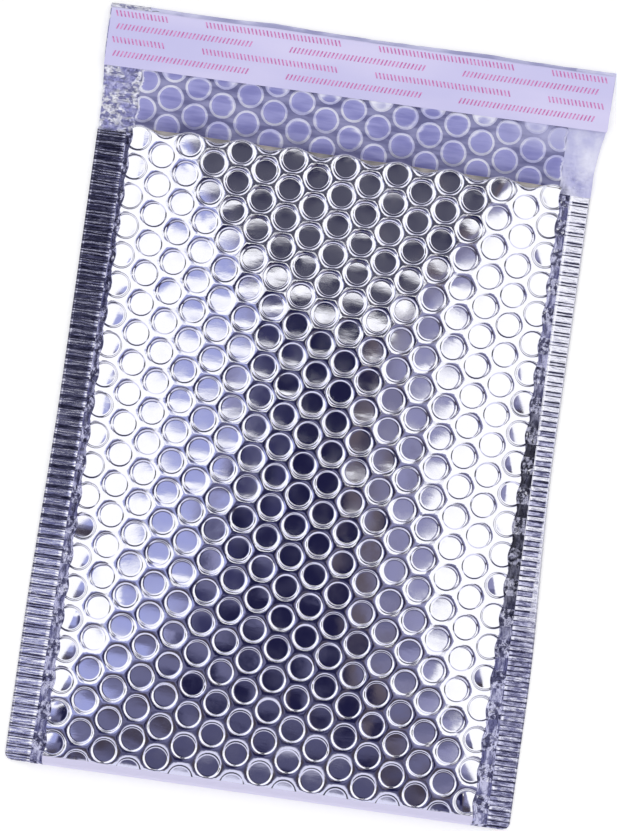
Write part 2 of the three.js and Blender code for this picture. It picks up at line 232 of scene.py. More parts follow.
def creases(x, y, octaves=3):
    """Sharp folds between facets, 0 on the folds."""
    total = np.zeros(np.broadcast(x, y).shape)
    for octave in range(octaves):
        scale = 2 ** octave
        total = total + np.abs(noise(x * scale + 3.7 * octave, y * scale + 9.1 * octave)) / scale
    return total


# Shape of the sheet

def row_position(half_row):
    t = np.asarray(half_row, float) / MOUTH_ROW
    return FIRST_ROW + ROW_SPAN * (t + ROW_DRAW * t * (1 - t))


def half_row_at(s):
    b = 1 + ROW_DRAW
    share = (np.asarray(s, float) - FIRST_ROW) / ROW_SPAN
    t = (b - np.sqrt(b * b - 4 * ROW_DRAW * share)) / (2 * ROW_DRAW)
    return t * MOUTH_ROW


def soft_minimum(a, b, blend):
    h = np.maximum(0, blend - np.abs(a - b)) / blend
    return np.minimum(a, b) - h * h * blend / 4


def crest_height(x, s):
    """Height of the pillow over the crests between the bubbles, without the bottom fold."""
    half_span = np.where(x < PEAK_OFF_CENTRE, FIELD_HALF + PEAK_OFF_CENTRE, FIELD_HALF - PEAK_OFF_CENTRE)
    power = ARCH_POWER + ARCH_SQUARER * np.exp(-s / ARCH_FADE)
    across = 1 - (np.abs(x - PEAK_OFF_CENTRE) / half_span) ** power
    peak_at = BODY_LENGTH - PEAK_FROM_MOUTH
    along = 1 - np.clip(1 - s / peak_at, 0, 1) ** ALONG_POWER
    arch = SIDE_HEIGHT + (PEAK_HEIGHT - SIDE_HEIGHT) * across * along
    rise = (PEAK_HEIGHT - LIP_HEIGHT) / PEAK_FROM_MOUTH
    facet = LIP_HEIGHT + (BODY_LENGTH - s) * rise
    return soft_minimum(arch, facet, CROWN_BLEND)


def beside_bubble(s):
    """1 beside a bubble of the last column, -1 between two of them."""
    return np.cos(math.pi * (half_row_at(s) - COLUMNS % 2))


def field_edge(s):
    """Where the bubbles end beside a seal, scalloped round the last column."""
    return FIELD_HALF + FIELD_OVERRUN + SCALLOP * beside_bubble(s)


def lip_position(x):
    """Wavy end of the front panel's film, highest over a whole bubble."""
    return BODY_LENGTH + LIP_MIDDLE + LIP_WAVE * np.cos(math.pi * x / SPACING)


def side_edge(side, s):
    """Distance from the middle to the side edge, which the pillow draws inwards."""
    rising = (s - DRAW_STARTS) / (BODY_LENGTH - DRAW_FULL - DRAW_STARTS)
    falling = (BODY_LENGTH + DRAW_ENDS - s) / (DRAW_ENDS - SEAL_RUNOUT)
    share = smooth(np.minimum(rising, falling))
    to_corner = np.clip(CORNER_RADIUS - s, 0, CORNER_RADIUS)
    corner = CORNER_RADIUS - np.sqrt(CORNER_RADIUS ** 2 - to_corner ** 2)
    return HALF_WIDTH - DRAW[side] * share - corner


def bubbles_near(x, s):
    """Column and row of each bubble that may be near a point, and the point's offset from it."""
    base = np.round(x / SPACING).astype(int)
    row = half_row_at(s)
    for step in (-1, 0, 1):
        k = base + step
        odd = np.abs(k) % 2
        lower = 2 * np.floor((row - odd) / 2).astype(int) + odd
        for m in (lower, lower + 2):
            yield k, m, x - k * SPACING, s - row_position(m)


BUBBLE_PAD = 8
BUBBLE_TABLE = (2 * COLUMNS + 2 * BUBBLE_PAD, 80, 2)
tilts = rng.normal(0, DISH_TILT, BUBBLE_TABLE)
warps = rng.normal(0, DISH_WARP, BUBBLE_TABLE)
for last_column in (BUBBLE_PAD, 2 * COLUMNS + BUBBLE_PAD):
    tilts[last_column] *= EDGE_TILT
    warps[last_column] = warps[last_column] * EDGE_BUCKLE + EDGE_CURVE


def dish_relief(x, s):
    """How far the film lies below the crests: the dish of each bubble, its rim and the soft web."""
    x, s = np.broadcast_arrays(np.asarray(x, float), np.asarray(s, float))
    total = np.zeros(x.shape)
    for k, m, dx, ds in bubbles_near(x, s):
        r = np.hypot(dx, ds)
        tilt = tilts[k + COLUMNS + BUBBLE_PAD, m + BUBBLE_PAD]
        warp = warps[k + COLUMNS + BUBBLE_PAD, m + BUBBLE_PAD]
        across = DISH_CURVE_ACROSS + warp[..., 0]
        along = DISH_CURVE_ALONG + warp[..., 1]
        bowl = (across * dx ** 2 + along * ds ** 2) / 2
        floor = bowl - DISH_DEPTH + tilt[..., 0] * dx + tilt[..., 1] * ds
        inside = 1 - smooth((r - DISH_EDGE) / (RIM_EDGE - DISH_EDGE))
        tail = -WEB_DROP * np.exp(-np.maximum(r - RIM_EDGE, 0) / WEB_REACH)
        total = total + floor * inside + tail * (1 - inside)
    return total


def dome_relief(x, s):
    """Height of the bubbles over the web on the lining's side."""
    x, s = np.broadcast_arrays(np.asarray(x, float), np.asarray(s, float))
    total = np.zeros(x.shape)
    for k, m, dx, ds in bubbles_near(x, s):
        r = np.hypot(dx, ds)
        wrinkle = DOME_WRINKLE * noise(dx / 5 + 3.1 * k, ds / 0.9 + 7.7 * m)
        rise = DOME_RISE - DOME_CURVE * r ** 2 + wrinkle
        total = total + rise * (1 - smooth((r - DOME_CROWN) / (DOME_FOOT - DOME_CROWN)))
    return total


# Making meshes

def triangles_of(quads):
    return np.concatenate([quads[:, [0, 1, 2]], quads[:, [0, 2, 3]]])


def grid_quads(rows, columns, flip=False):
    index = np.arange(rows * columns).reshape(rows, columns)
    quads = np.stack([index[:-1, :-1], index[:-1, 1:], index[1:, 1:], index[1:, :-1]], -1).reshape(-1, 4)
    return quads[:, ::-1] if flip else quads


WELD_STEPS = 2000


def weld(points, faces):
    """Joins points that coincide and drops faces that have shrunk to a line."""
    keys = np.round(points * WELD_STEPS).astype(np.int64)
    _, first, back = np.unique(keys, axis=0, return_index=True, return_inverse=True)
    faces = back.reshape(-1)[faces]
    whole = (faces[:, 0] != faces[:, 1]) & (faces[:, 1] != faces[:, 2]) & (faces[:, 2] != faces[:, 0])
    return points[first], faces[whole]


def new_piece(name, points, faces, materials, slot, stands_for=(), face_materials=None):
    """A smooth mesh piece of the envelope, from points given as x, s, z in millimetres."""
    place = np.array(points, float).reshape(-1, 3)
    place[:, 1] -= TOTAL_LENGTH / 2
    mesh = bpy.data.meshes.new(name)
    mesh.from_pydata((place * MM).tolist(), [], np.asarray(faces).tolist())
    mesh.polygons.foreach_set("use_smooth", np.ones(len(mesh.polygons), bool))
    for material in materials:
        mesh.materials.append(material)
    if face_materials is not None:
        mesh.polygons.foreach_set("material_index", np.asarray(face_materials, np.int32))
    mesh.update()
    piece = bpy.data.objects.new(name, mesh)
    bpy.context.scene.collection.objects.link(piece)
    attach(piece, "root")
    if stands_for:
        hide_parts(*stands_for)
    return piece


def grid_piece(name, x, s, z, materials, slot, flip=False, **more):
    """A piece from three equal grids of coordinates."""
    x, s, z = np.broadcast_arrays(x, s, z)
    points = np.stack([x, s, z], -1).reshape(-1, 3)
    return new_piece(name, points, grid_quads(*x.shape, flip=flip), materials, slot, **more)


PER_EDGE = 4
SEGMENTS = 6 * PER_EDGE
CORNER_THIRDS = np.array([2, 1, -1, -2, -1, 1])
CORNER_ROWS = np.array([0, 1, 1, 0, -1, -1])


def cell_outline(k, m):
    """Points round the hexagon of a bubble, shared with its neighbours."""
    across = (3 * k + CORNER_THIRDS) * SPACING / 3
    corners = np.stack([across, row_position(m + CORNER_ROWS)], -1)
    onward = np.roll(corners, -1, axis=0)
    share = np.arange(PER_EDGE)[None, :, None] / PER_EDGE
    return (corners[:, None] * (1 - share) + onward[:, None] * share).reshape(SEGMENTS, 2)


def cell_faces(ring_count):
    """Triangles of one cell: bands between its rings, and a fan in the middle."""
    band = np.arange(SEGMENTS)
    onward = (band + 1) % SEGMENTS
    faces = []
    for ring in range(ring_count - 1):
        outer = ring * SEGMENTS
        inner = outer + SEGMENTS
        faces.append(np.stack([outer + band, outer + onward, inner + onward], -1))
        faces.append(np.stack([outer + band, inner + onward, inner + band], -1))
    last = (ring_count - 1) * SEGMENTS
    middle = np.full(SEGMENTS, ring_count * SEGMENTS)
    faces.append(np.stack([last + band, last + onward, middle], -1))
    return np.concatenate(faces)


def cell_field(first, last, radii, web_shares=()):
    """Flat points and triangles of a hexagonal bubble field between two half rows."""
    template = cell_faces(1 + len(web_shares) + len(radii))
    points = []
    faces = []
    count = 0
    for k in range(-COLUMNS, COLUMNS + 1):
        for m in range(first + (first + k) % 2, last + 1, 2):
            outline = cell_outline(k, m)
            centre = np.array([k * SPACING, float(row_position(m))])
            spokes = outline - centre
            reach = np.linalg.norm(spokes, axis=1, keepdims=True)
            rings = [outline]
            rings += [centre + spokes / reach * (radii[0] + (reach - radii[0]) * w) for w in web_shares]
            rings += [centre + spokes / reach * radius for radius in radii]
            rings.append(centre[None])
            points.append(np.concatenate(rings))
            faces.append(template + count)
            count += len(points[-1])
    return np.concatenate(points), np.concatenate(faces)


def field_within(flat, faces, low, high):
    """Clamps a bubble field to its width and to a lower and an upper limit, which may vary with x."""
    x = flat[:, 0]
    s = flat[:, 1]
    edge = field_edge(s)
    clamped = np.clip(x, -edge, edge)
    top = high(clamped)
    masks = [x <= -edge, x >= edge, s >= top, s <= low]
    keep = np.ones(len(faces), bool)
    for mask in masks:
        keep &= ~mask[faces].all(axis=1)
    return clamped, np.clip(s, low, top), faces[keep]


FINE_RINGS = (5.7, 5.3, 5.1, 4.95, 4.8, 4.65, 4.5, 4.3, 3.9, 2.8, 1.4)
DOME_RINGS = (5.5, 5.3, 5.1, 4.9, 4.7, 4.5, 4.2, 3.2, 2.1, 1.0)
COARSE_RINGS = (5.4, 5.0, 4.7, 4.4, 2.8)
FADE_RAMP = (1, 3)
BACK_SHORT = 0.4
LINING_SHORT = 0.2


def nose_fold(s, height, middle):
    """Rolls the sheet down to the middle line of the fold."""
    out = np.sin(np.clip((NOSE_REACH - s) / NOSE_ARC, 0, 1) * math.pi / 2)
    bulge = (1 - FOLD_FALL * out ** FOLD_FALL_POWER) * np.sqrt(1 - out ** FOLD_BLUNTNESS)
    place = np.where(s < NOSE_REACH, NOSE_REACH * (1 - out), s)
    z = np.where(s < NOSE_REACH, middle + (height - middle) * bulge, height)
    return place, z


def fold_fade(s):
    """0 on the fold, 1 where the dishes have their full depth."""
    return ramp(s, *FADE_RAMP)


def front_surface(x, s):
    """Place and height of the front film at a place on the sheet."""
    height = crest_height(x, np.maximum(s, 0))
    place, z = nose_fold(s, height, NOSE_MIDDLE)
    return place, z + dish_relief(x, s) * fold_fade(s)


def back_surface(x, s):
    """Place and height of the back film, which the table keeps from bulging below it."""
    place, z = nose_fold(s, np.zeros(np.shape(s)), NOSE_MIDDLE)
    return place, np.maximum(z - dish_relief(x, s) * fold_fade(s), 0)


def flap_surface(x, s):
    """Place and height of the bubble lining of the flap, crushed towards the liner."""
    beside = smooth(field_edge(s) - np.abs(x))
    domes = dome_relief(x, s) * (1 - FLAP_CRUSH * ramp(s, *CRUSH_RAMP)) * beside
    return s, FLAP_WEB + domes + FLAP_RIPPLE * crumple(x / 7, s / 5)


def back_lining_surface(x, s):
    return s, FLAP_WEB + dome_relief(x, s)


def front_lining_surface(x, s):
    return s, crest_height(x, s) - FLAP_WEB - dome_relief(x, s)


def straight(place):
    """A limit at the same place for every x."""
    def limit(x):
        return np.full(x.shape, float(place))

    return limit


def field_piece(name, rows, rings, web_shares, limits, surface, material, slot, flip=False, **more):
    flat, faces = cell_field(*rows, rings, web_shares)
    x, s, faces = field_within(flat, faces, *limits)
    place, z = surface(x, s)
    points, faces = weld(np.stack([x, place, z], -1), faces)
    if flip:
        faces = faces[:, ::-1]
    return new_piece(name, points, faces, [material], slot, **more)


def front_film(material):
    limits = (SHEET_START, lip_position)
    rows = (-2, MOUTH_ROW + 1)
    return field_piece("front_film", rows, FINE_RINGS, (), limits, front_surface, material,
                       "metallised_film", stands_for=("pouch",))


def back_film(material):
    limits = (SHEET_START, straight(TOTAL_LENGTH - BACK_SHORT))
    rows = (-2, MOUTH_ROW + 9)
    return field_piece("back_film", rows, COARSE_RINGS, (), limits, back_surface, material,
                       "metallised_film", flip=True)


def flap_lining(material):
    limits = (LINING_STARTS, straight(PLATEAU_START))
    rows = (MOUTH_ROW - 4, MOUTH_ROW + 5)
    return field_piece("flap_lining", rows, DOME_RINGS, (0.5,), limits, flap_surface, material,
                       "bubble_film")


def inner_linings(material):
    """The bubble lining inside the pouch, on the back panel and under the front panel."""
    rows = (0, MOUTH_ROW - 4)
    limits = (NOSE_REACH, straight(LINING_STARTS))
    field_piece("back_lining", rows, COARSE_RINGS, (), limits, back_lining_surface, material, "bubble_film")
    rows = (0, MOUTH_ROW + 1)
    limits = (NOSE_REACH, straight(BODY_LENGTH + LINING_END - LINING_SHORT))
    field_piece("front_lining", rows, COARSE_RINGS, (), limits, front_lining_surface, material,
                "bubble_film", flip=True)


# Side seals

def rib_groove(side, s):
    """1 on the floor of the groove between two ribs, 0 on a rib."""
    narrow, wide = GROOVE_HALF[side]
    widens, widest = GROOVE_WIDENS
    half = narrow + (wide - narrow) * smooth((widens - s) / (widens - widest))
    from_middle = np.abs((s / RIB_PITCH) % 1 - 0.5) * RIB_PITCH
    return 1 - smooth((from_middle - half) / GROOVE_WALL)


def rib_stations():
    """Places along a seal, close enough to show the walls of its grooves."""
    count = round((BODY_LENGTH - SHEET_START) / RIB_PITCH * RIB_STEPS)
    return np.linspace(SHEET_START, BODY_LENGTH, count + 1)


def seal_inner(side, s):
    drawn = np.clip(s / (BODY_LENGTH - SEAL_DRAW_FULL), 0, 1)
    return HALF_WIDTH - SEAL_WIDTH[side] - SEAL_DRAW[side] * drawn


def seal_lean(side, s):
    """How steeply the welded strip falls towards its edge."""
    least, gain, place = SEAL_LEAN[side]
    return least + gain * ramp(s, *place)


def groove_depth(side, out, s):
    return GROOVE_DEPTH * (1 + GROOVE_UNEVEN * crumple(out / 5, s / 2.4 + 50 * side, 2))


def seal_height(side, out, s):
    """Height of the welded strip at a distance out from its inner edge."""
    fine = SEAL_WRINKLE * crumple(out / 2.6, s / 0.7 + 70 * side)
    wave = SEAL_WAVE * noise(out / 7, s / 19 + 40 * side)
    bead = SEAL_BEAD * np.exp(-(out / SEAL_BEAD_WIDTH) ** 2)
    groove = groove_depth(side, out, s) * rib_groove(side, s)
    return SEAL_TOP - seal_lean(side, s) * out - groove + (fine + wave) + bead


WALL_STEPS = np.linspace(0, 1, 15)
STRIP_STEPS = np.array([0.03, 0.07, 0.15, 0.3, 0.45, 0.6, 0.75, 0.9, 1.0])
UNDER_STEPS = np.array([0.98, 0.6, 0.2])
BACK_STEPS = np.linspace(0, 1, 4)[1:]
PLAIN, CRUMPLED, RIBBED, PLEATED = range(4)


def seal_wall(side, s, flat_s, inner, start, at_row):
    """Crumpled wall from the last bubbles down to the weld."""
    turn = WALL_STEPS[None, :]
    drop = smooth(turn * WALL_DROP)
    rough = np.sin(math.pi * turn) * (WALL_CALM + (1 - WALL_CALM) * at_row ** 2)
    pleat = creases(turn * 1.6 + 9 * side, s / 2.3) - 0.5
    fine = crumple(turn * 4.3 + 5, s / 0.8 + 31 * side, 2)
    place_top, z_top = front_surface(side * start, s)
    x = start + (inner - start) * turn + rough * (PLEAT_OUT * pleat + CRUMPLE_OUT * fine)
    y = place_top * (1 - drop) + flat_s * drop
    z = z_top * (1 - drop) + seal_height(side, 0, s) * drop + rough * (PLEAT_UP * pleat - CRUMPLE_UP * fine)
    return x, y, z


def seal_face(side, s, flat_s, inner, edge, steps, below=0):
    """Face of the weld, at steps between its inner and its outer edge."""
    x = inner + (edge - inner) * steps[None, :]
    return x, np.broadcast_to(flat_s, x.shape), seal_height(side, x - inner, s) - below


def seal_back(side, s, flat_s, inner, edge, start, z_start):
    """Film under the weld, back to the first bubbles of the back panel."""
    share = BACK_STEPS[None, :]
    fall = smooth(share)
    place_low, z_low = back_surface(side * start, s)
    first = inner + UNDER_STEPS[-1] * (edge - inner)
    x = first + (start - first) * share
    return x, flat_s * (1 - fall) + place_low * fall, z_start * (1 - fall) + z_low * fall


def seal_face_kinds(at_row, columns):
    """Material of each face: crumpled beside a bubble, pleated between two, ribbed on the weld."""
    column = np.arange(columns)[None, :]
    wall = np.where(at_row[1:] > CRUMPLED_FROM, CRUMPLED, PLEATED)
    rest = np.where(column < len(WALL_STEPS) + len(STRIP_STEPS) - 1, RIBBED, PLAIN)
    return np.where(column < len(WALL_STEPS) - 1, wall, rest).ravel()


def seal_strip(side, materials):
    """The side of the pouch: crumpled wall, ribbed strip, its edge, and the way back underneath."""
    s = rib_stations()[:, None]
    flat_s = np.where(s < NOSE_REACH, NOSE_REACH * (s - SHEET_START) / NOSE_ARC, s)
    inner = seal_inner(side, flat_s)
    edge = side_edge(side, flat_s)
    start = field_edge(s)
    at_row = 0.5 + 0.5 * beside_bubble(s)
    wall = seal_wall(side, s, flat_s, inner, start, at_row)
    strip = seal_face(side, s, flat_s, inner, edge, STRIP_STEPS)
    under = seal_face(side, s, flat_s, inner, edge, UNDER_STEPS, SEAL_FILM)
    back = seal_back(side, s, flat_s, inner, edge, start, under[2][:, -1:])
    x, y, z = (np.concatenate(parts, 1) for parts in zip(wall, strip, under, back))
    kinds = seal_face_kinds(at_row, x.shape[1] - 1)
    name = "left_seal" if side < 0 else "right_seal"
    return grid_piece(name, side * x, y, z, materials, "metallised_film", flip=side < 0,
                      face_materials=kinds)


# Flap

def flap_edge_wave(x):
    return 0.55 * noise(x / 17, 2.5) + 0.12 * noise(x / 4, 8.5)


def flap_tip(s):
    """0 on the flap, 1 at its very end, where the film's two faces meet."""
    return ramp(s, *TIP_RAMP)


def flap_end_height(x, s):
    """Top of the crushed film that carries the adhesive, thinning out to a wrinkled margin."""
    thin = ramp(s, *MARGIN_RAMP)
    wrinkle = MARGIN_WRINKLE * crumple(x / 3.2, s / 2.3 + 20) * thin
    height = FLAP_PLATEAU * (1 - thin) + MARGIN_HEIGHT * thin + wrinkle + 0.05 * crumple(x / 6, s / 4)
    return height * (1 - flap_tip(s)) + TIP_HEIGHT * flap_tip(s)


def flap_side_height(side, x, s):
    """Crushed film beside the bubbles: sharply crinkled on the left, softly on the right."""
    base = FLAP_SIDE_HEIGHT + FLAP_SIDE_GAIN * ramp(s, *SIDE_GAIN_RAMP)
    if side < 0:
        crinkle = 1.5 * (creases(x / 4.2, s / 3.4 + 12) - 0.55)
    else:
        from_creased = (x - CREASED_AT[0]) ** 2 + (s - CREASED_AT[1]) ** 2
        creased = np.exp(-from_creased / CREASED_SPREAD)
        crinkle = (0.35 + 2.2 * creased) * (creases(x / 5.1, s / 3.9 + 40) - 0.5)
    calm = ramp(np.abs(x), FIELD_HALF, 1.2) * (1 - SIDE_CALM) + SIDE_CALM
    return base + crinkle * ramp(s, *CRINKLE_RAMP[side]) * calm


def flap_side(side, material):
    """Film beside the bubbles of the flap, round its edge and back underneath."""
    s = np.linspace(BODY_LENGTH, TOTAL_LENGTH, 181)[:, None]
    share = np.linspace(0, 1, 49)[None, :]
    edge = side_edge(side, s) + 0.25 * noise(s / 6, 4.4 + side)
    start = FIELD_HALF - SIDE_OVERLAP
    x_top = start + (edge - FIELD_HALF + SIDE_OVERLAP) * share
    end = ramp(s, *SIDE_END_RAMP)
    z_top = flap_side_height(side, side * x_top, s) * (1 - end) + flap_end_height(side * x_top, s) * end
    x_low = np.concatenate([edge, edge - SIDE_HEM, np.full(s.shape, start)], 1)
    z_low = np.array([[0.25, 0.05, 0.05]]) * (1 - flap_tip(s)) + 0.38 * flap_tip(s)
    x = side * np.concatenate([x_top, x_low], 1)
    z = np.concatenate([z_top, z_low], 1)
    y = s + flap_edge_wave(x) * ramp(s, *WAVE_RAMP)
    name = "left_flap_side" if side < 0 else "right_flap_side"
    return grid_piece(name, x, y, z, [material], "metallised_film", flip=side < 0)


def flap_end(material):
    """Crushed film under the liner, out to the wavy edge of the flap and round it."""
    x = np.linspace(-FIELD_HALF, FIELD_HALF, 341)[None, :]
    s_top = np.linspace(PLATEAU_START - 0.5, TOTAL_LENGTH, 46)[:, None]
    z_top = flap_end_height(x, s_top)
    s_low = np.array([TOTAL_LENGTH, TOTAL_LENGTH - 3.0])[:, None]
    z_low = np.broadcast_to(np.array([[TIP_HEIGHT], [0.02]]), (2, x.shape[1]))
    s = np.concatenate([s_top, s_low])
    z = np.concatenate([z_top, z_low])
    s = s + flap_edge_wave(x) * ramp(s, *WAVE_RAMP)
    return grid_piece("flap_end", x, s, z, [material], "metallised_film")


def tube_along(name, path, radius, material, slot, sides=10):
    """A thin round bead along a path that runs across the envelope."""
    path = np.asarray(path, float)
    ahead = np.gradient(path, axis=0)
    ahead /= np.linalg.norm(ahead, axis=1, keepdims=True)
    beside = np.cross(ahead, (0, 0, 1))
    beside /= np.linalg.norm(beside, axis=1, keepdims=True)
    above = np.cross(beside, ahead)
    angle = np.linspace(0, 2 * math.pi, sides + 1)[None, :, None]
    ring = path[:, None] + radius * (np.cos(angle) * beside[:, None] + np.sin(angle) * above[:, None])
    faces = grid_quads(*ring.shape[:2])
    points, faces = weld(ring.reshape(-1, 3), triangles_of(faces))
    return new_piece(name, points, faces, [material], slot)


def lip(film, lining):
    """Edges of the front panel: the wavy end of the film and the straight cut end of the lining."""
    x = np.linspace(-FIELD_HALF, FIELD_HALF, 681)
    s = lip_position(x)
    z = front_surface(x, s)[1] - LIP_SINK
    tube_along("film_lip", np.stack([x, s, z], -1), LIP_BEAD, film, "metallised_film")
    s = BODY_LENGTH + LINING_END + 0.12 * noise(x / 8, 1.5)
    z = crest_height(x, s) - LINING_SINK + 0.1 * noise(x / 5, 6.5)
    tube_along("lining_lip", np.stack([x, s, z], -1), LINING_BEAD, lining, "bubble_film")
    x, end = x[None, :], s[None, :]
    share = np.linspace(0, 1, 10)[:, None]
    rows = BODY_LENGTH - LINING_EDGE_DEPTH + (end - BODY_LENGTH + LINING_EDGE_DEPTH) * share
    heights = crest_height(x, rows) - 0.85 - 0.5 * (1 - share) + 0.06 * crumple(x / 3, rows / 2)
    grid_piece("lining_edge", x, rows, heights, [lining], "bubble_film")


# Strip on the flap

LINER_SINK = 0.12
LINER_WAVE = 0.09
LINER_CREASE = 0.03
LINER_SKEW = 1.2
LINER_INSET = 0.6
LINER_THICK = 0.14
LINER_ROWS = 33


def liner_height(x, s):
    wave = LINER_WAVE * noise(x / 23, s / 30 + 5) + LINER_CREASE * crumple(x / 5, s / 6 + 9)
    return liner_high[2] - LINER_SINK + wave


def liner_skew(x):
    """How far the liner rises across the envelope, being stuck on a little out of square."""
    return LINER_SKEW * x / (2 * HALF_WIDTH)


def liner_edges(x):
    """Lower edge of the liner, and its upper one, which follows the flap's wavy edge."""
    skew = liner_skew(x)
    low = liner_low[1] + TOTAL_LENGTH / 2 + LINER_INSET + skew + 0.08 * noise(x / 11, 3.5)
    high = liner_high[1] + TOTAL_LENGTH / 2 - LINER_INSET + skew * 0.4 + 0.5 * flap_edge_wave(x)
    return low, high


def release_liner(material):
    x = np.linspace(liner_low[0], liner_high[0], 301)[None, :]
    share = np.concatenate([np.linspace(0, 1, LINER_ROWS), [1, 0, 0]])[:, None]
    low, high = liner_edges(x)
    s = low + (high - low) * share
    drop = np.concatenate([np.zeros(LINER_ROWS), [LINER_THICK, LINER_THICK, 0]])[:, None]
    z = liner_height(x, s) - drop
    return grid_piece("release_liner_film", x, s, z, [material], "release_film",
                      stands_for=("release_liner",))


MARK_ROWS = ((296.3, -62), (291.3, -28), (285.9, -62), (280.6, -28))
MARK_REPEATS = (-2, -1, 0, 1, 2)
MARK_PERIOD = 68.5
MARK_GROUP = 54
MARK_PITCH = 1.5
MARK_HEIGHT = 2.3
MARK_STROKE = 0.62
MARK_SLANT = 0.9
MARK_LIFT = 0.03
MARK_FOLLOW = 0.7
MARK_CLEAR_LEFT = 1
MARK_CLEAR_RIGHT = 3


def stroke_places(start):
    """Where the strokes of one row begin, kept clear of the liner's ends."""
    for repeat in MARK_REPEATS:
        for stroke in np.arange(0, MARK_GROUP, MARK_PITCH):
            place = start + repeat * MARK_PERIOD + stroke
            if liner_low[0] + MARK_CLEAR_LEFT < place < liner_high[0] - MARK_CLEAR_RIGHT:
                yield place


def stroke_points(place, middle, slant):
    """Three pairs of points from the foot of a slanted stroke to its top."""
    for t in (0, 0.5, 1):
        s = middle + liner_skew(place) * MARK_FOLLOW + MARK_HEIGHT * (t - 0.5)
        for aside in (0, MARK_STROKE):
            x = place + slant * (t - 0.5) + aside
            yield x, s, float(liner_height(x, s)) + MARK_LIFT


def liner_marks(material):
    """Rows of plain slanted strokes in staggered groups."""
    points = []
    faces = []
    for row, (middle, start) in enumerate(MARK_ROWS):
        slant = MARK_SLANT if row % 2 else -MARK_SLANT
        for place in stroke_places(start):
            for low in (len(points), len(points) + 2):
                faces.append((low, low + 1, low + 3, low + 2))
            points += stroke_points(place, middle, slant)
    return new_piece("liner_marks", points, faces, [material], "liner_marks")


ADHESIVE_INSET = 0.4
ADHESIVE_LUMPS = 0.35
ADHESIVE_HALF_THICK = 0.15


def squared_off(wave, power):
    """A cosine or sine pushed out towards -1 and 1."""
    return np.sign(wave) * np.abs(wave) ** power


def adhesive_bead(material):
    """Strip of hot melt under the liner, lumpy along its edges."""
    x = np.linspace(adhesive_low[0], adhesive_high[0], 241)[None, :]
    angle = np.linspace(0, 2 * math.pi, 25)[:, None]
    middle = (adhesive_low[1] + adhesive_high[1]) / 2 + TOTAL_LENGTH / 2
    half = (adhesive_high[1] - adhesive_low[1]) / 2 - ADHESIVE_INSET + ADHESIVE_LUMPS * noise(x / 6, 7.5)
    s = middle + half * squared_off(np.cos(angle), 0.25)
    height = (adhesive_low[2] + adhesive_high[2]) / 2
    z = height + ADHESIVE_HALF_THICK * squared_off(np.sin(angle), 0.5)
    return grid_piece("adhesive_bead", x, s, z, [material], "adhesive", flip=True,
                      stands_for=("adhesive_strip",))


# Materials. A pair of colours is the two that a surface wanders between

FILM_COLOR = (0.88, 0.88, 0.93)
FOLD_COLOR = (0.72, 0.69, 0.9)
SEAL_COLOR = (0.86, 0.86, 0.92)
# Painted shade and reflection on the seals: dark shade lines along the groove walls, shaded groove floors,
# and dark and light reflection bands on the ribs
GROOVE_SHADE_LINE = (0.06, 0.06, 0.11)
LEFT_FLOOR_SHADE = ((0.03, 0.03, 0.06), (0.25, 0.25, 0.36))
LEFT_FLOOR_LOW_SHADE = (0.5, 0.5, 0.65)
LEFT_RIB_REFLECTIONS_HIGH = ((0.07, 0.07, 0.12), (0.6, 0.6, 0.72))
LEFT_RIB_REFLECTIONS_LOW = ((0.5, 0.5, 0.66), (0.92, 0.92, 0.96))
RIGHT_FLOOR_SHADE = ((0.2, 0.2, 0.33), (0.6, 0.6, 0.78))
RIGHT_RIB_REFLECTIONS = ((0.3, 0.3, 0.46), (0.85, 0.85, 0.95))
# Painted reflection and shade on the crumpled walls, a darker painted shade for the right side, and painted
# glints
WALL_COLOR = (0.3, 0.3, 0.44)
WALL_LEFT = ((0.1, 0.1, 0.19), (0.62, 0.62, 0.8))
WALL_RIGHT_SHADE = ((0.03, 0.03, 0.05), (0.42, 0.42, 0.52))
GLINT = (0.85, 0.85, 0.9)
# Painted reflection streaks on the pleated walls, and a darker painted shade copy for the right side
PLEATS = ((0.13, 0.13, 0.27), (0.55, 0.55, 0.75))
PLEATS_SHADE = ((0.02, 0.02, 0.035), (0.12, 0.12, 0.17))
CRINKLES = ((0.27, 0.27, 0.48), (0.9, 0.9, 0.97))
CRINKLE_VIOLET = (0.36, 0.36, 0.68)
# Bubble lining: painted shade on the low web between the domes, a painted highlight on the dome rims, and
# the domes' own tone
WEB_SHADE_TONES = ((0.14, 0.14, 0.31), (0.3, 0.3, 0.52))
DOME_TONES = ((0.22, 0.22, 0.52), (0.33, 0.33, 0.66))
RIM_HIGHLIGHT_TONES = ((0.55, 0.55, 0.84), (0.85, 0.85, 0.97))
LINING_PALE = (0.52, 0.52, 0.78)

# Ends of spreads, in metres where they are places on the sheet
UP = (0, 1)
DOWN = (1, 0)
NEAR_FOLD = (0.06, 0.1)
GROOVE_SPAN = (GROOVE_WIDENS[1] * MM, GROOVE_WIDENS[0] * MM)
INSET_INNER = (0.0896, 0.0904)
INSET_OUTER = (0.0958, 0.0966)
RIM_FOOT = (0.0013, 0.00145)
RIM_TOP = (0.00245, 0.0026)


def new_material(name, color, roughness, metallic=0.0, coat=0.0, sheen=0.0):
    material = bpy.data.materials.new(name)
    material.use_nodes = True
    shader = material.node_tree.nodes["Principled BSDF"]
    shader.inputs["Base Color"].default_value = (*color, 1)
    shader.inputs["Roughness"].default_value = roughness
    shader.inputs["Metallic"].default_value = metallic
    shader.inputs["Coat Weight"].default_value = coat
    shader.inputs["Coat Roughness"].default_value = 0.05
    shader.inputs["Sheen Weight"].default_value = sheen
    return material, material.node_tree, shader


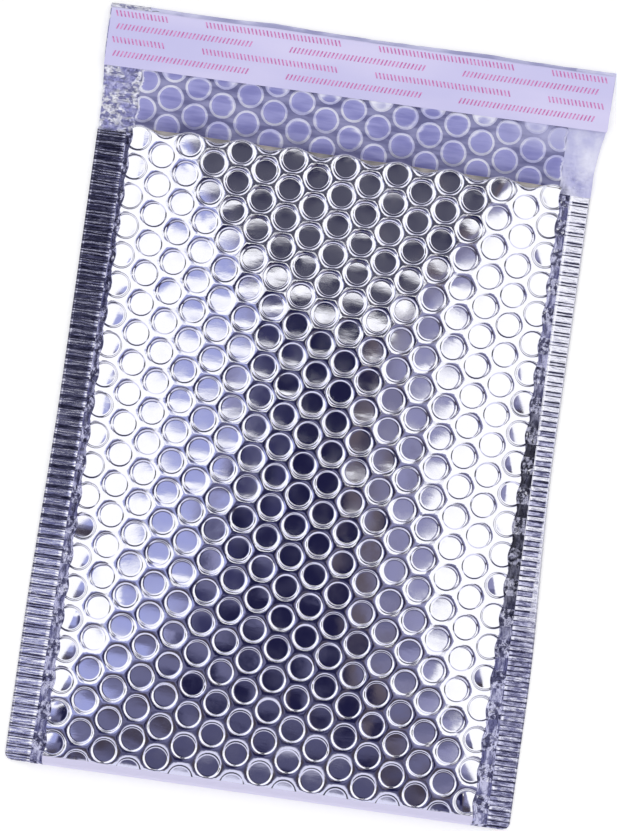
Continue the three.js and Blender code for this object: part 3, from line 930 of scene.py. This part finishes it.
def add_noise(tree, scale, detail, stretch=(1, 1, 1)):
    where = tree.nodes.new("ShaderNodeTexCoord")
    mapping = tree.nodes.new("ShaderNodeMapping")
    mapping.inputs["Scale"].default_value = stretch
    texture = tree.nodes.new("ShaderNodeTexNoise")
    texture.inputs["Scale"].default_value = scale
    texture.inputs["Detail"].default_value = detail
    tree.links.new(where.outputs["Object"], mapping.inputs["Vector"])
    tree.links.new(mapping.outputs["Vector"], texture.inputs["Vector"])
    return texture.outputs["Fac"]


def add_bump(tree, shader, height, strength, distance):
    bump = tree.nodes.new("ShaderNodeBump")
    bump.inputs["Strength"].default_value = strength
    bump.inputs["Distance"].default_value = distance
    tree.links.new(height, bump.inputs["Height"])
    tree.links.new(bump.outputs["Normal"], shader.inputs["Normal"])


def spread_value(tree, value, source, target=UP):
    """Maps a value from one range to another, with soft ends."""
    spread = tree.nodes.new("ShaderNodeMapRange")
    spread.interpolation_type = "SMOOTHSTEP"
    names = ("From Min", "From Max", "To Min", "To Max")
    for name, number in zip(names, (*source, *target)):
        spread.inputs[name].default_value = number
    tree.links.new(value, spread.inputs["Value"])
    return spread.outputs["Result"]


def mix_color(tree, share, below, above):
    mix = tree.nodes.new("ShaderNodeMix")
    mix.data_type = "RGBA"
    tree.links.new(share, mix.inputs["Factor"])
    for socket, value in ((mix.inputs[6], below), (mix.inputs[7], above)):
        if isinstance(value, tuple):
            socket.default_value = (*value, 1)
        else:
            tree.links.new(value, socket)
    return mix.outputs[2]


def node_math(tree, operation, a, b=None):
    node = tree.nodes.new("ShaderNodeMath")
    node.operation = operation
    for socket, value in zip(node.inputs, (a, b)):
        if isinstance(value, (int, float)):
            socket.default_value = value
        elif value is not None:
            tree.links.new(value, socket)
    return node.outputs[0]


def times(tree, a, b):
    return node_math(tree, "MULTIPLY", a, b)


def plus(tree, a, b):
    return node_math(tree, "ADD", a, b)


def minus(tree, a, b):
    return node_math(tree, "SUBTRACT", a, b)


def paint(tree, shader, color):
    tree.links.new(color, shader.inputs["Base Color"])


def sheet_place(tree):
    """Distance up from the bottom fold, in metres."""
    return plus(tree, object_axis(tree, 1), TOTAL_LENGTH * MM / 2)


def object_axis(tree, axis):
    where = tree.nodes.new("ShaderNodeTexCoord")
    parts = tree.nodes.new("ShaderNodeSeparateXYZ")
    tree.links.new(where.outputs["Object"], parts.inputs["Vector"])
    return parts.outputs[axis]


def film_material():
    """Mirror-bright film, satin and lavender on the bottom fold."""
    material, tree, shader = new_material("metallised_film", FILM_COLOR, 0.08, metallic=1.0)
    fine = times(tree, add_noise(tree, 1100, 3, (0.4, 1, 1)), 0.3)
    broad = add_noise(tree, 260, 1, (0.5, 1, 1))
    add_bump(tree, shader, plus(tree, fine, broad), 0.11, 0.0002)
    wander = times(tree, add_noise(tree, 60, 1), FOLD_WANDER * MM)
    from_fold = minus(tree, sheet_place(tree), wander)
    band_edge = [(FOLD_BAND + end) * MM for end in FOLD_BAND_EDGE]
    on_fold = spread_value(tree, from_fold, band_edge, DOWN)
    paint(tree, shader, mix_color(tree, on_fold, FILM_COLOR, FOLD_COLOR))
    spots = spread_value(tree, add_noise(tree, 140, 2), (0.3, 0.7), (0.05, 0.12))
    satin = times(tree, on_fold, 0.5)
    tree.links.new(node_math(tree, "MAXIMUM", spots, satin), shader.inputs["Roughness"])
    dulled = times(tree, on_fold, 0.8)
    tree.links.new(minus(tree, 1, dulled), shader.inputs["Metallic"])
    return material


def rib_distance(tree):
    """Distance from the middle of the nearest groove of a seal, in millimetres."""
    turns = times(tree, sheet_place(tree), 1 / (RIB_PITCH * MM))
    phase = minus(tree, node_math(tree, "FRACT", turns), 0.5)
    return times(tree, node_math(tree, "ABSOLUTE", phase), RIB_PITCH)


def groove_masks(tree, side):
    """Shares of the painted dark shade lines along the walls of the grooves, and of the painted shade on
    the floors between them.
    """
    narrow, wide = GROOVE_HALF[side]
    half = spread_value(tree, sheet_place(tree), GROOVE_SPAN, (wide, narrow))
    past_floor = minus(tree, rib_distance(tree), half)
    swing = minus(tree, add_noise(tree, 420, 3, (0.3, 1, 1)), 0.5)
    wander = times(tree, swing, 0.8)
    edge = node_math(tree, "ABSOLUTE", minus(tree, past_floor, 0.5 * GROOVE_WALL))
    shade_line = spread_value(tree, plus(tree, edge, wander), (0.14, 0.36), DOWN)
    return shade_line, spread_value(tree, past_floor, (0, 0.3), DOWN)


def right_seal_inset(tree, near_fold):
    """The part of the right seal where the painted groove shade shows: its middle, and all of it near the
    fold.
    """
    x = object_axis(tree, 0)
    inner = spread_value(tree, x, INSET_INNER)
    outer = spread_value(tree, x, INSET_OUTER, DOWN)
    return node_math(tree, "MAXIMUM", times(tree, inner, outer), near_fold)


def right_seal_colors(tree, grain, near_fold):
    """Colours of the floors of the grooves, painted in shade, and of the ribs between them, painted with
    reflections.
    """
    ribs = mix_color(tree, grain, *RIGHT_RIB_REFLECTIONS)
    return mix_color(tree, grain, *RIGHT_FLOOR_SHADE), mix_color(tree, near_fold, SEAL_COLOR, ribs)


def left_seal_colors(tree, grain, near_fold):
    """As on the right, but with fine painted reflection bands on the ribs, which darken towards the mouth.
    """
    floors = mix_color(tree, near_fold, mix_color(tree, grain, *LEFT_FLOOR_SHADE), LEFT_FLOOR_LOW_SHADE)
    turns = times(tree, sheet_place(tree), 3 * 2 * math.pi / (RIB_PITCH * MM))
    stray = times(tree, add_noise(tree, 260, 3, (0.25, 1, 1)), 14)
    wave = node_math(tree, "SINE", plus(tree, turns, stray))
    bands = spread_value(tree, wave, (-0.5, 0.6))
    upper = mix_color(tree, bands, *LEFT_RIB_REFLECTIONS_HIGH)
    lower = mix_color(tree, bands, *LEFT_RIB_REFLECTIONS_LOW)
    return floors, mix_color(tree, spread_value(tree, sheet_place(tree), (0.1, 0.21)), lower, upper)


def seal_material(side):
    """Ribbed film of a side seal: streaky, with painted dark shade lines along the walls of its grooves,
    painted shade on their floors and painted reflections on its ribs.
    """
    name = "left_seal_film" if side < 0 else "right_seal_film"
    material, tree, shader = new_material(name, SEAL_COLOR, 0.16, metallic=1.0)
    add_bump(tree, shader, add_noise(tree, 1500, 3, (0.12, 1, 1)), 0.55, 0.0002)
    shade_line, floor_shade = groove_masks(tree, side)
    near_fold = spread_value(tree, sheet_place(tree), NEAR_FOLD, DOWN)
    grain = spread_value(tree, add_noise(tree, 900, 3, (0.4, 1, 1)), (0.35, 0.65))
    if side > 0:
        inset = right_seal_inset(tree, near_fold)
        low_down = spread_value(tree, sheet_place(tree), GROOVE_SPAN, (1, 0.15))
        shade_line = times(tree, shade_line, inset)
        floor_shade = times(tree, times(tree, floor_shade, inset), low_down)
        floors, ribs = right_seal_colors(tree, grain, near_fold)
    else:
        floors, ribs = left_seal_colors(tree, grain, near_fold)
    color = mix_color(tree, floor_shade, ribs, floors)
    paint(tree, shader, mix_color(tree, shade_line, color, GROOVE_SHADE_LINE))
    return material


def crumpled_material():
    """Film of the wall beside a bubble, with painted dark reflections, painted shade darkest on the right
    half way up, and small painted glints.
    """
    material, tree, shader = new_material("crumpled_film", WALL_COLOR, 0.22, metallic=0.9)
    add_bump(tree, shader, add_noise(tree, 900, 3), 0.3, 0.0003)
    share = spread_value(tree, add_noise(tree, 420, 4), (0.44, 0.58))
    # Painted shade: darker on the right, half way up the envelope
    on_right = spread_value(tree, object_axis(tree, 0), (-0.01, 0.01))
    low_down = spread_value(tree, sheet_place(tree), NEAR_FOLD, DOWN)
    high_up = spread_value(tree, sheet_place(tree), (0.15, 0.18), (0, 0.75))
    middle = minus(tree, minus(tree, 1, low_down), high_up)
    dark = times(tree, on_right, middle)
    color = mix_color(tree, dark, mix_color(tree, share, *WALL_LEFT), mix_color(tree, share, *WALL_RIGHT_SHADE))
    # Painted glints: small highlights mixed into the colour
    glints = spread_value(tree, add_noise(tree, 520, 3), (0.62, 0.7))
    paint(tree, shader, mix_color(tree, glints, color, GLINT))
    return material


def pleat_material(side):
    """Smoother film of the wall between two rows of bubbles, with painted reflection streaks, and painted
    shade darkest half way up on the right.
    """
    name = "left_pleats" if side < 0 else "right_pleats"
    material, tree, shader = new_material(name, WALL_COLOR, 0.2, metallic=0.8)
    streaks = spread_value(tree, add_noise(tree, 380, 4, (1, 0.35, 1)), (0.42, 0.62))
    color = mix_color(tree, streaks, *PLEATS)
    # Painted shade: darker on the right, half way up the envelope
    if side > 0:
        above_fold = spread_value(tree, sheet_place(tree), NEAR_FOLD)
        below_mouth = spread_value(tree, sheet_place(tree), GROOVE_SPAN, DOWN)
        dark = times(tree, above_fold, below_mouth)
        color = mix_color(tree, dark, color, mix_color(tree, streaks, *PLEATS_SHADE))
    paint(tree, shader, color)
    add_bump(tree, shader, add_noise(tree, 500, 3, (1, 0.5, 1)), 0.2, 0.0003)
    return material


def crinkled_material():
    """Sharply crinkled film beside the flap's bubbles, with violet patches."""
    material, tree, shader = new_material("crinkled_film", (0.5, 0.5, 0.8), 0.25, metallic=0.55)
    add_bump(tree, shader, add_noise(tree, 600, 4), 0.4, 0.0003)
    share = spread_value(tree, add_noise(tree, 620, 6, (0.7, 1, 1)), (0.42, 0.56))
    violet = spread_value(tree, add_noise(tree, 110, 2), (0.5, 0.6), (0, 0.8))
    color = mix_color(tree, share, *CRINKLES)
    paint(tree, shader, mix_color(tree, violet, color, CRINKLE_VIOLET))
    return material


def lining_material():
    """Clear bubble film over the violet inner side, painted lighter on the domes, with a painted highlight
    on their rims and painted shade on the web between them, and paler where crushed.
    """
    material, tree, shader = new_material("bubble_lining", (0.24, 0.24, 0.54), 0.26, coat=0.4)
    height = object_axis(tree, 2)
    streaks = spread_value(tree, add_noise(tree, 160, 3, (0.35, 2.2, 1)), (0.35, 0.65))
    web, dome, rim = (mix_color(tree, streaks, *tones) for tones in (WEB_SHADE_TONES, DOME_TONES, RIM_HIGHLIGHT_TONES))
    # Painted shade on the low web and a painted highlight on the rims, chosen by height
    color = mix_color(tree, spread_value(tree, height, RIM_FOOT), web, rim)
    color = mix_color(tree, spread_value(tree, height, RIM_TOP), color, dome)
    to_right = spread_value(tree, object_axis(tree, 0), (0.045, 0.085), (0, 0.75))
    to_liner = spread_value(tree, object_axis(tree, 1), (0.112, 0.124))
    crushed = times(tree, to_right, to_liner)
    paint(tree, shader, mix_color(tree, crushed, color, LINING_PALE))
    add_bump(tree, shader, add_noise(tree, 420, 4, (0.5, 1.5, 1)), 0.3, 0.0003)
    return material


def two_toned(name, color, roughness, grain, tones, between=(0.3, 0.7), relief=None, **finish):
    """A material that wanders between two tones, with a fine relief where one is given."""
    material, tree, shader = new_material(name, color, roughness, **finish)
    share = spread_value(tree, add_noise(tree, *grain), between)
    paint(tree, shader, mix_color(tree, share, *tones))
    if relief:
        bumps, strength, distance = relief
        add_bump(tree, shader, add_noise(tree, *bumps), strength, distance)
    return material


def lining_edge_material():
    """Cut edge of the lining in the mouth."""
    tones = ((0.2, 0.19, 0.2), (0.42, 0.38, 0.36))
    return two_toned("lining_cut_edge", (0.3, 0.28, 0.27), 0.2, (90, 2), tones, coat=1.0)


def pale_film_material():
    """Softly crushed film at the right end of the flap."""
    tones = ((0.5, 0.5, 0.78), (0.74, 0.74, 0.92))
    relief = ((500, 3), 0.3, 0.0003)
    return two_toned("pale_crushed_film", (0.55, 0.55, 0.8), 0.3, (120, 4), tones, relief=relief, coat=0.6)


def margin_material():
    """Thin wrinkled edge of the flap."""
    tones = ((0.36, 0.36, 0.6), (0.66, 0.66, 0.88))
    return two_toned("flap_margin", (0.5, 0.5, 0.72), 0.3, (150, 3, (0.5, 1.5, 1)), tones, coat=0.3)


def liner_material():
    """Thin lilac film with soft creases."""
    grain = (22, 3, (0.5, 1.5, 1))
    tones = ((0.58, 0.56, 0.86), (0.7, 0.66, 0.92))
    relief = ((60, 3, (0.6, 1.6, 1)), 0.12, 0.0008)
    return two_toned("liner_film", (0.63, 0.6, 0.88), 0.4, grain, tones, relief=relief, sheen=0.1)


def marks_material():
    """Pink ink, unevenly laid."""
    tones = ((0.55, 0.14, 0.42), (0.7, 0.3, 0.62))
    return two_toned("liner_ink", (0.6, 0.13, 0.42), 0.45, (700, 2), tones, between=(0.35, 0.65))


def adhesive_material():
    """Translucent hot melt with a lumpy skin."""
    material, tree, shader = new_material("hot_melt", (0.8, 0.76, 0.62), 0.3, coat=0.3)
    add_bump(tree, shader, add_noise(tree, 300, 2), 0.3, 0.0004)
    return material


# Light, floor and camera

NAVY = (0.013, 0.013, 0.05)
INDIGO = (0.04, 0.04, 0.11)
SLATE = (0.085, 0.085, 0.125)
DUSK = (0.085, 0.085, 0.17)
UMBER = (0.06, 0.05, 0.07)
BROWN = (0.12, 0.1, 0.125)
GREY = (0.2, 0.195, 0.32)
HAZE = (0.29, 0.29, 0.48)
HAZE_LOW = (0.15, 0.15, 0.27)
LAVENDER = (0.38, 0.41, 0.74)
PALE = (0.8, 0.8, 0.98)
WHITE = (1.15, 1.15, 1.18)
DARK_GAP = (0.05, 0.05, 0.08)
NEAR_TABLE = (0.95, 0.95, 1.02)
PLAIN_LIGHT = (1.0, 1.0, 1.0)
PANEL_SLANT = 0.5
LAMP_ACROSS = 6
LAMP_ALONG = 1.6


def sky_layers(tree, across, along, z):
    """Shares and colours, each laid over those before it. Angles are in degrees from overhead."""
    def past(value, start, full):
        return spread_value(tree, value, (start, full))

    def both(first, second):
        return times(tree, first, second)

    def less(value, limit, soft):
        return minus(tree, 1, past(value, limit, limit + soft))

    def squared_from(value, centre):
        return node_math(tree, "POWER", minus(tree, value, centre), 2)

    left = both(across, -1)
    toward = both(along, -1)
    sideways = node_math(tree, "ABSOLUTE", across)
    lengthways = node_math(tree, "ABSOLUTE", along)
    from_lamp = plus(tree, squared_from(across, LAMP_ACROSS), squared_from(along, LAMP_ALONG))
    strip = plus(tree, along, both(past(left, 4, 12), 3))
    strip_width = both(past(strip, 3.6, 4.6), less(strip, 6.8, 1.6))
    strip_length = both(past(left, -7.5, -6), less(left, 14, 4))
    off_core = node_math(tree, "MAXIMUM", past(left, 1, 2.5), past(across, 5.5, 7))
    slant = both(along, PANEL_SLANT)
    return (
        (past(left, 3, 4.5), INDIGO),
        (past(along, 8, 12), SLATE),
        (past(left, 6, 7.5), DUSK),
        (past(left, 8, 9.2), HAZE),
        (past(left, 9.6, 11), LAVENDER),
        (past(across, 3.5, 5), BROWN),
        (past(across, 6.5, 8), GREY),
        (past(across, 10, 11.5), HAZE),
        (both(past(toward, 7, 9), off_core), HAZE_LOW),
        (past(toward, 13.5, 17), DUSK),
        (both(past(toward, 13, 15.5), past(sideways, 4, 6)), UMBER),
        (both(strip_width, strip_length), WHITE),
        (past(plus(tree, left, slant), 16.3, 17.3), WHITE),
        (past(plus(tree, across, slant), 14.5, 15.4), WHITE),
        (less(from_lamp, 0.7, 0.8), WHITE),
        (past(sideways, 50, 56), DARK_GAP),
        (past(lengthways, 22, 28), PALE),
        (past(along, 33, 38), DARK_GAP),
        (past(toward, 42, 48), DARK_GAP),
        (past(both(z, -1), -0.34, -0.2), NEAR_TABLE),
    )


def sky():
    """Soft studio: dark overhead, white panels at both sides, a strip light, pale near the table."""
    world = bpy.data.worlds.new("studio")
    bpy.context.scene.world = world
    world.use_nodes = True
    tree = world.node_tree
    background = tree.nodes["Background"]
    where = tree.nodes.new("ShaderNodeTexCoord")
    parts = tree.nodes.new("ShaderNodeSeparateXYZ")
    tree.links.new(where.outputs["Generated"], parts.inputs["Vector"])
    x, y, z = parts.outputs
    across = times(tree, node_math(tree, "ARCTAN2", x, z), 180 / math.pi)
    along = times(tree, node_math(tree, "ARCTAN2", y, z), 180 / math.pi)
    color = NAVY
    for share, above in sky_layers(tree, across, along, z):
        color = mix_color(tree, share, color, above)
    rays = tree.nodes.new("ShaderNodeLightPath")
    color = mix_color(tree, rays.outputs["Is Diffuse Ray"], color, PLAIN_LIGHT)
    tree.links.new(color, background.inputs["Color"])
    background.inputs["Strength"].default_value = 1.0


# The floor, and the camera straight above it, in metres
FLOOR_GLOW = 0.14
FLOOR_SIZE = 6
FLOOR_COLOR = (0.95, 0.95, 0.95)
FRAME_HEIGHT = 0.3262
FRAME_MIDDLE = (-0.00075, 0.00015)
CAMERA_HEIGHT = 2.6
CAMERA_TURN = math.radians(8.1)
SENSOR = 36
CLIP_END = 20


def camera():
    data = bpy.data.cameras.new("camera")
    data.sensor_fit = "VERTICAL"
    data.sensor_height = SENSOR
    data.lens = SENSOR * CAMERA_HEIGHT / FRAME_HEIGHT
    data.clip_end = CLIP_END
    eye = bpy.data.objects.new("camera", data)
    eye.location = (*FRAME_MIDDLE, CAMERA_HEIGHT)
    eye.rotation_euler = (0, 0, CAMERA_TURN)
    bpy.context.scene.collection.objects.link(eye)
    bpy.context.scene.camera = eye


def floor():
    bpy.ops.mesh.primitive_plane_add(size=FLOOR_SIZE, location=(0, 0, 0))
    plane = bpy.context.object
    plane.name = "floor"
    material, tree, shader = new_material("floor", FLOOR_COLOR, 0.6)
    rays = tree.nodes.new("ShaderNodeLightPath")
    seen = plus(tree, rays.outputs["Is Camera Ray"], rays.outputs["Is Glossy Ray"])
    seen = plus(tree, seen, rays.outputs["Is Transmission Ray"])
    shader.inputs["Emission Color"].default_value = (1, 1, 1, 1)
    tree.links.new(times(tree, seen, FLOOR_GLOW), shader.inputs["Emission Strength"])
    plane.data.materials.append(material)


camera()
sky()
floor()
film = film_material()
crumpled = crumpled_material()
lining = lining_material()
front_film(film)
back_film(film)
for seal_side in (-1, 1):
    seal_strip(seal_side, [film, crumpled, seal_material(seal_side), pleat_material(seal_side)])
flap_lining(lining)
inner_linings(lining)
flap_side(-1, crinkled_material())
flap_side(1, pale_film_material())
flap_end(margin_material())
lip(film, lining_edge_material())
adhesive_bead(adhesive_material())
release_liner(liner_material())
liner_marks(marks_material())

bpy.context.scene.view_settings.view_transform = "Standard"
